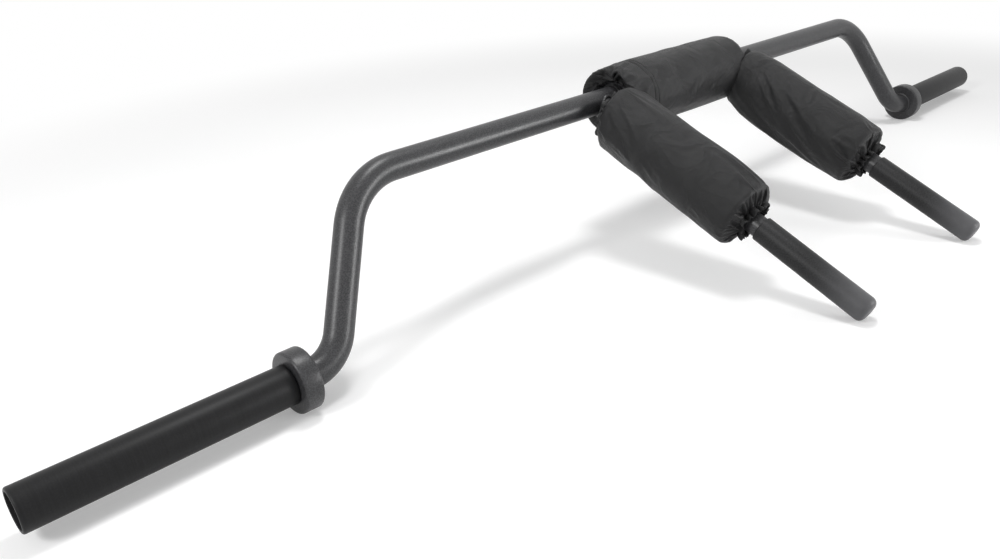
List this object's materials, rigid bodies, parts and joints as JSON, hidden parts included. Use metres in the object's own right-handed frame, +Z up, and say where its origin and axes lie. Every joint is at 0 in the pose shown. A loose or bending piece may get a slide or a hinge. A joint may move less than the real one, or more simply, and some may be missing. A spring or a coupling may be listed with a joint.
{
  "type": "safety squat bar",
  "caption": "Black safety squat bar with a cambered shaft, a padded neck roll, padded shoulder arms with rubber grips, and loading sleeves that spin.",
  "frame": {"origin": "centre of the bounding box at the floor that the bar lies on", "axes": "+X along the bar towards its right end, +Z up, and the arms reach towards -Y"},
  "size_m": [2.2576, 0.5322, 0.2851],
  "materials": {
    "powder_coat": "fine textured powder coat over steel",
    "satin_sleeve": "smooth satin black over steel",
    "bare_steel": "turned, lightly oiled",
    "bronze": "sintered, oiled",
    "grip_rubber": "fine matt texture",
    "nylon": "coated woven nylon with a soft sheen",
    "foam": "closed-cell foam",
    "elastic": "woven elastic cord",
    "closure": "hook and loop tape"
  },
  "bodies": {
    "frame": {"bar_shaft": "powder_coat", "left_collar": "powder_coat", "left_collar_weld": "powder_coat", "left_thrust_washer": "bare_steel", "left_end_plug": "bare_steel", "left_end_plate": "satin_sleeve", "left_end_bolt": "bare_steel", "left_arm": "powder_coat", "left_arm_weld": "powder_coat", "left_grip": "grip_rubber", "left_arm_foam": "foam", "left_arm_cover": "nylon", "left_arm_elastic_rear": "elastic", "left_arm_elastic_front": "elastic", "right_collar": "powder_coat", "right_collar_weld": "powder_coat", "right_thrust_washer": "bare_steel", "right_end_plug": "bare_steel", "right_end_plate": "satin_sleeve", "right_end_bolt": "bare_steel", "right_arm": "powder_coat", "right_arm_weld": "powder_coat", "right_grip": "grip_rubber", "right_arm_foam": "foam", "right_arm_cover": "nylon", "right_arm_elastic_rear": "elastic", "right_arm_elastic_front": "elastic", "neck_foam": "foam", "neck_loop_strip": "closure", "neck_hook_strip": "closure", "neck_cover": "nylon", "neck_elastic_left": "elastic", "neck_elastic_right": "elastic"},
    "left_sleeve_body": {"left_sleeve": "satin_sleeve", "left_inner_bushing": "bronze", "left_outer_bushing": "bronze"},
    "right_sleeve_body": {"right_sleeve": "satin_sleeve", "right_inner_bushing": "bronze", "right_outer_bushing": "bronze"}
  },
  "joints": [
    {"name": "left_sleeve_spin", "type": "hinge", "parent": "frame", "child": "left_sleeve_body", "pos_m": [-0.978, 0.1351, 0.0391], "axis": [1, 0, 0], "continuous": true},
    {"name": "right_sleeve_spin", "type": "hinge", "parent": "frame", "child": "right_sleeve_body", "pos_m": [0.978, 0.1351, 0.0391], "axis": [1, 0, 0], "continuous": true}
  ]
}
